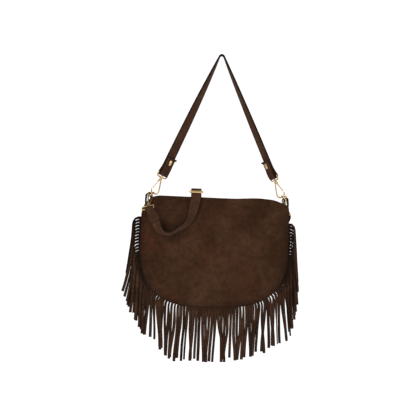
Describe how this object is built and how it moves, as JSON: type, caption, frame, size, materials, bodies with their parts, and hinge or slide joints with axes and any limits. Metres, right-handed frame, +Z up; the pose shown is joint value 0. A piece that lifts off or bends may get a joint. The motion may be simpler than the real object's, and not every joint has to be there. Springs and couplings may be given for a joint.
{
  "type": "fringed suede shoulder bag",
  "caption": "Fringed suede shoulder bag with a zip top, a short carrying strap and a long adjustable strap, both clipped to rings at the top corners.",
  "frame": {"origin": "the underside of the short strap at the top of its fold, where it hangs over a peg", "axes": "+X to the right seen from the front, +Y to the back, +Z up"},
  "size_m": [0.3316, 0.1034, 0.5892],
  "materials": {
    "body_suede": "napped suede, dark brown, mottled",
    "strap_suede": "napped suede, dark brown",
    "zip_tape": "woven tape",
    "gold_metal": "polished pale gold plating"
  },
  "bodies": {
    "bag": {"front_panel": "body_suede", "back_panel": "body_suede", "gusset": "body_suede", "fringe": "body_suede", "zip_tape_front": "zip_tape", "zip_tape_back": "zip_tape", "zip_teeth_front": "gold_metal", "zip_teeth_back": "gold_metal", "ring_tab_left": "strap_suede", "ring_tab_right": "strap_suede", "short_strap": "strap_suede", "strap_rivet_left": "gold_metal", "strap_rivet_right": "gold_metal", "long_strap": "strap_suede", "strap_glide": "gold_metal", "hook_short_left_eye": "gold_metal", "hook_short_right_eye": "gold_metal", "hook_long_left_eye": "gold_metal", "hook_long_right_eye": "gold_metal"},
    "zip_slider": {"zip_slider": "gold_metal"},
    "zip_pull": {"zip_pull": "gold_metal"},
    "ring_left": {"ring_left": "gold_metal"},
    "ring_right": {"ring_right": "gold_metal"},
    "hook_short_left": {"hook_short_left_frame": "gold_metal", "hook_short_left_gate_pin": "gold_metal"},
    "gate_short_left": {"hook_short_left_gate": "gold_metal"},
    "hook_short_right": {"hook_short_right_frame": "gold_metal", "hook_short_right_gate_pin": "gold_metal"},
    "gate_short_right": {"hook_short_right_gate": "gold_metal"},
    "hook_long_left": {"hook_long_left_frame": "gold_metal", "hook_long_left_gate_pin": "gold_metal"},
    "gate_long_left": {"hook_long_left_gate": "gold_metal"},
    "hook_long_right": {"hook_long_right_frame": "gold_metal", "hook_long_right_gate_pin": "gold_metal"},
    "gate_long_right": {"hook_long_right_gate": "gold_metal"}
  },
  "joints": [
    {"name": "zip_slide", "type": "slide", "parent": "bag", "child": "zip_slider", "axis": [-1, 0, 0], "range_m": [0, 0.17]},
    {"name": "zip_pull_swing", "type": "hinge", "parent": "zip_slider", "child": "zip_pull", "pos_m": [0.0892, 0, -0.2749], "axis": [0, 1, 0], "range_deg": [0, 120]},
    {"name": "ring_left_swing", "type": "hinge", "parent": "bag", "child": "ring_left", "pos_m": [-0.1312, 0, -0.2729], "axis": [0, -1, 0], "range_deg": [0, 3]},
    {"name": "ring_right_swing", "type": "hinge", "parent": "bag", "child": "ring_right", "pos_m": [0.1312, 0, -0.2729], "axis": [0, 1, 0], "range_deg": [0, 3]},
    {"name": "hook_short_left_swivel", "type": "hinge", "parent": "bag", "child": "hook_short_left", "pos_m": [-0.10981, 0, -0.23761], "axis": [0.4078, 0, 0.9131], "range_deg": [-10, 10]},
    {"name": "gate_short_left_open", "type": "hinge", "parent": "hook_short_left", "child": "gate_short_left", "pos_m": [-0.11391, 0, -0.24214], "axis": [0, -1, 0], "range_deg": [0, 22], "stiffness_Nm_per_rad": 0.004, "springref_deg": -11.46},
    {"name": "hook_short_right_swivel", "type": "hinge", "parent": "bag", "child": "hook_short_right", "pos_m": [0.10981, 0, -0.23761], "axis": [-0.4078, 0, 0.9131], "range_deg": [-10, 10]},
    {"name": "gate_short_right_open", "type": "hinge", "parent": "hook_short_right", "child": "gate_short_right", "pos_m": [0.11391, 0, -0.24214], "axis": [0, 1, 0], "range_deg": [0, 22], "stiffness_Nm_per_rad": 0.004, "springref_deg": -11.46},
    {"name": "hook_long_left_swivel", "type": "hinge", "parent": "bag", "child": "hook_long_left", "pos_m": [-0.1313, -0.03136, -0.29067], "axis": [-0.1, -0.7001, -0.7071], "range_deg": [-4, 4]},
    {"name": "gate_long_left_open", "type": "hinge", "parent": "hook_long_left", "child": "gate_long_left", "pos_m": [-0.12963, -0.02627, -0.28774], "axis": [0.8129, -0.4672, 0.3476], "range_deg": [0, 22], "stiffness_Nm_per_rad": 0.004, "springref_deg": -11.46},
    {"name": "hook_long_right_swivel", "type": "hinge", "parent": "bag", "child": "hook_long_right", "pos_m": [0.1313, 0.03136, -0.29067], "axis": [0.1, 0.7001, -0.7071], "range_deg": [-4, 4]},
    {"name": "gate_long_right_open", "type": "hinge", "parent": "hook_long_right", "child": "gate_long_right", "pos_m": [0.12963, 0.02627, -0.28774], "axis": [-0.8129, 0.4672, 0.3476], "range_deg": [0, 22], "stiffness_Nm_per_rad": 0.004, "springref_deg": -11.46}
  ]
}
